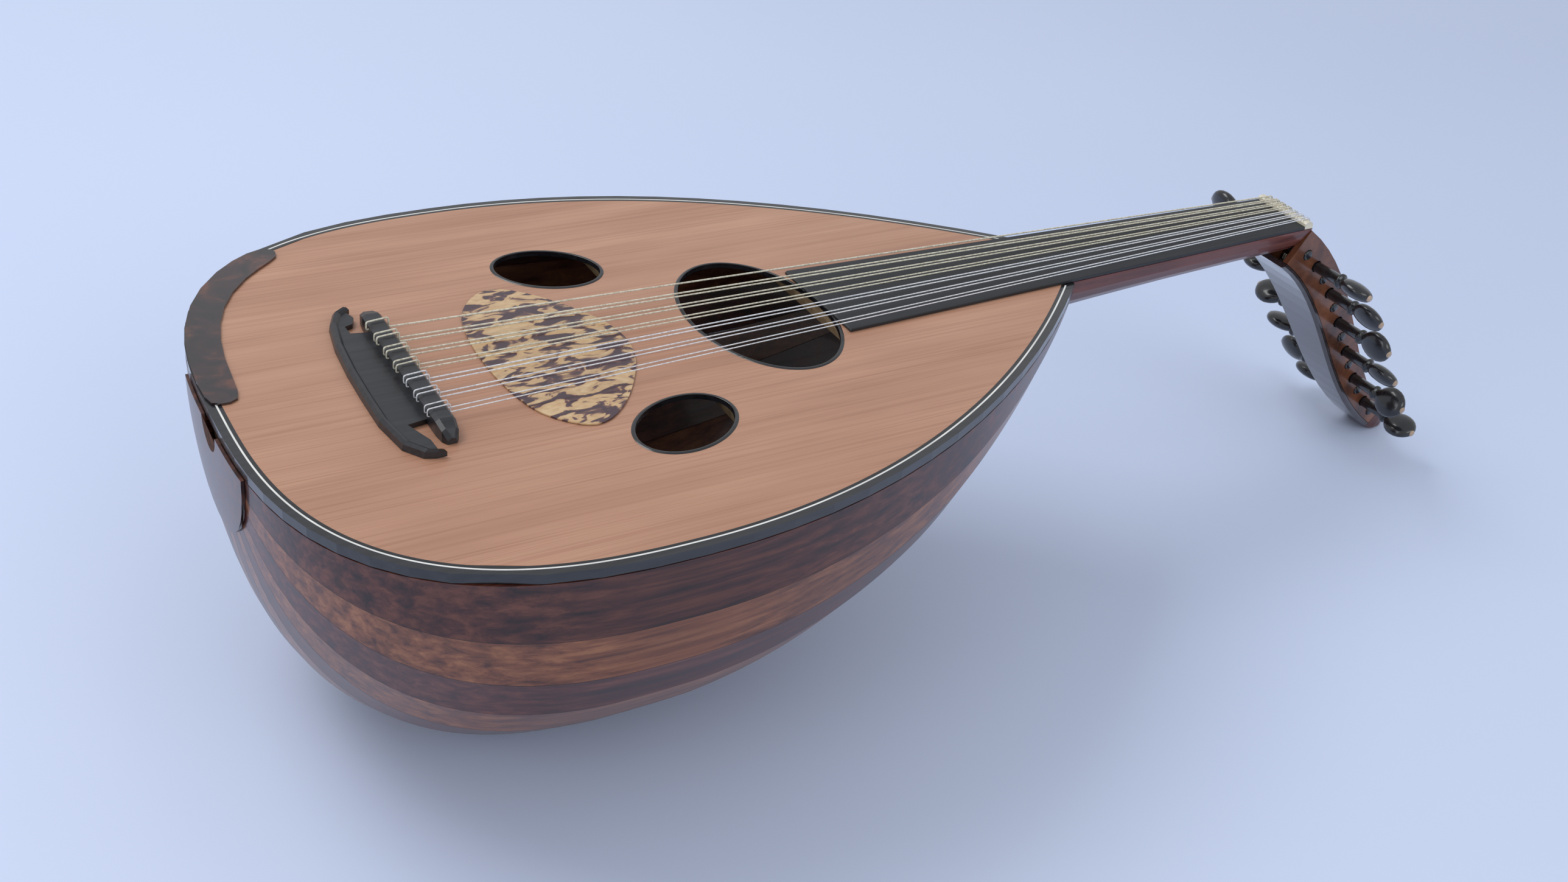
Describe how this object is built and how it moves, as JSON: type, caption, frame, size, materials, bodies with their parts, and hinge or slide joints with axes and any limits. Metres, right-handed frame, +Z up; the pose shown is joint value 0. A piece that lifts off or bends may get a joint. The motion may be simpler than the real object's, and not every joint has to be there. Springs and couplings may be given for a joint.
{
  "type": "oud",
  "caption": "Short-necked fretless lute with a ribbed round bowl, flat pierced soundboard, tie bridge and bent-back pegbox with turning pegs.",
  "frame": {"origin": "middle of the flat at the lowest point of the bowl, on the ground", "axes": "+X from the tail to the pegbox, +Y to the bass side, +Z up through the soundboard"},
  "size_m": [0.8429, 0.359, 0.2009],
  "materials": {
    "spruce_top": "satin straight-grained softwood",
    "black_binding": "polished black wood",
    "dark_rib": "gloss lacquered dark wood",
    "light_rib": "gloss lacquered red-brown wood",
    "dark_wood": "gloss lacquered dark wood",
    "inner_wood": "unfinished pale wood",
    "neck_wood": "satin red-brown wood",
    "fingerboard_wood": "matte near-black wood",
    "bone": "polished bone",
    "bridge_wood": "satin near-black wood",
    "pale_shell": "glossy mottled tortoiseshell sheet",
    "dark_shell": "glossy dark tortoiseshell sheet",
    "cheek_wood": "satin figured brown wood",
    "peg_wood": "polished black wood",
    "wound_string": "cream polymer string",
    "plain_string": "white polymer string"
  },
  "bodies": {
    "oud": {"soundboard": "spruce_top", "binding": "black_binding", "rib_01": "dark_rib", "rib_02": "light_rib", "rib_03": "dark_rib", "rib_04": "light_rib", "rib_05": "dark_rib", "rib_06": "light_rib", "rib_07": "dark_rib", "rib_08": "light_rib", "rib_09": "dark_rib", "rib_10": "light_rib", "rib_11": "dark_rib", "rib_12": "light_rib", "rib_13": "dark_rib", "rib_14": "light_rib", "rib_15": "dark_rib", "rib_16": "light_rib", "rib_17": "dark_rib", "end_clasp": "dark_wood", "tail_block": "inner_wood", "neck_block": "inner_wood", "brace_1": "inner_wood", "brace_2": "inner_wood", "neck": "neck_wood", "fingerboard": "fingerboard_wood", "nut": "bone", "bridge": "bridge_wood", "pickguard": "pale_shell", "arm_guard": "dark_shell", "pegbox_cheek_near": "cheek_wood", "pegbox_cheek_far": "cheek_wood", "pegbox_back": "dark_wood", "pegbox_tip": "dark_wood", "string_01": "wound_string", "string_02": "wound_string", "string_03": "wound_string", "string_04": "wound_string", "string_05": "wound_string", "string_06": "wound_string", "string_07": "wound_string", "string_08": "plain_string", "string_09": "plain_string", "string_10": "plain_string", "string_11": "plain_string", "string_12": "plain_string", "string_13": "plain_string"},
    "peg_01": {"peg_01": "peg_wood"},
    "peg_02": {"peg_02": "peg_wood"},
    "peg_03": {"peg_03": "peg_wood"},
    "peg_04": {"peg_04": "peg_wood"},
    "peg_05": {"peg_05": "peg_wood"},
    "peg_06": {"peg_06": "peg_wood"},
    "peg_07": {"peg_07": "peg_wood"},
    "peg_08": {"peg_08": "peg_wood"},
    "peg_09": {"peg_09": "peg_wood"},
    "peg_10": {"peg_10": "peg_wood"},
    "peg_11": {"peg_11": "peg_wood"},
    "peg_12": {"peg_12": "peg_wood"},
    "peg_13": {"peg_13": "peg_wood"}
  },
  "joints": [
    {"name": "peg_01_turn", "type": "hinge", "parent": "oud", "child": "peg_01", "pos_m": [0.52156, 0, 0.17042], "axis": [0, 1, 0], "continuous": true},
    {"name": "peg_02_turn", "type": "hinge", "parent": "oud", "child": "peg_02", "pos_m": [0.53396, 0, 0.1597], "axis": [0, 1, 0], "continuous": true},
    {"name": "peg_03_turn", "type": "hinge", "parent": "oud", "child": "peg_03", "pos_m": [0.54538, 0, 0.14794], "axis": [0, 1, 0], "continuous": true},
    {"name": "peg_04_turn", "type": "hinge", "parent": "oud", "child": "peg_04", "pos_m": [0.55594, 0, 0.13539], "axis": [0, 1, 0], "continuous": true},
    {"name": "peg_05_turn", "type": "hinge", "parent": "oud", "child": "peg_05", "pos_m": [0.56582, 0, 0.12231], "axis": [0, 1, 0], "continuous": true},
    {"name": "peg_06_turn", "type": "hinge", "parent": "oud", "child": "peg_06", "pos_m": [0.57525, 0, 0.10889], "axis": [0, 1, 0], "continuous": true},
    {"name": "peg_07_turn", "type": "hinge", "parent": "oud", "child": "peg_07", "pos_m": [0.58444, 0, 0.09531], "axis": [0, 1, 0], "continuous": true},
    {"name": "peg_08_turn", "type": "hinge", "parent": "oud", "child": "peg_08", "pos_m": [0.59362, 0, 0.08172], "axis": [0, 1, 0], "continuous": true},
    {"name": "peg_09_turn", "type": "hinge", "parent": "oud", "child": "peg_09", "pos_m": [0.603, 0, 0.06826], "axis": [0, 1, 0], "continuous": true},
    {"name": "peg_10_turn", "type": "hinge", "parent": "oud", "child": "peg_10", "pos_m": [0.61277, 0, 0.05509], "axis": [0, 1, 0], "continuous": true},
    {"name": "peg_11_turn", "type": "hinge", "parent": "oud", "child": "peg_11", "pos_m": [0.6231, 0, 0.04235], "axis": [0, 1, 0], "continuous": true},
    {"name": "peg_12_turn", "type": "hinge", "parent": "oud", "child": "peg_12", "pos_m": [0.63412, 0, 0.03021], "axis": [0, 1, 0], "continuous": true},
    {"name": "peg_13_turn", "type": "hinge", "parent": "oud", "child": "peg_13", "pos_m": [0.64594, 0, 0.01885], "axis": [0, 1, 0], "continuous": true}
  ]
}
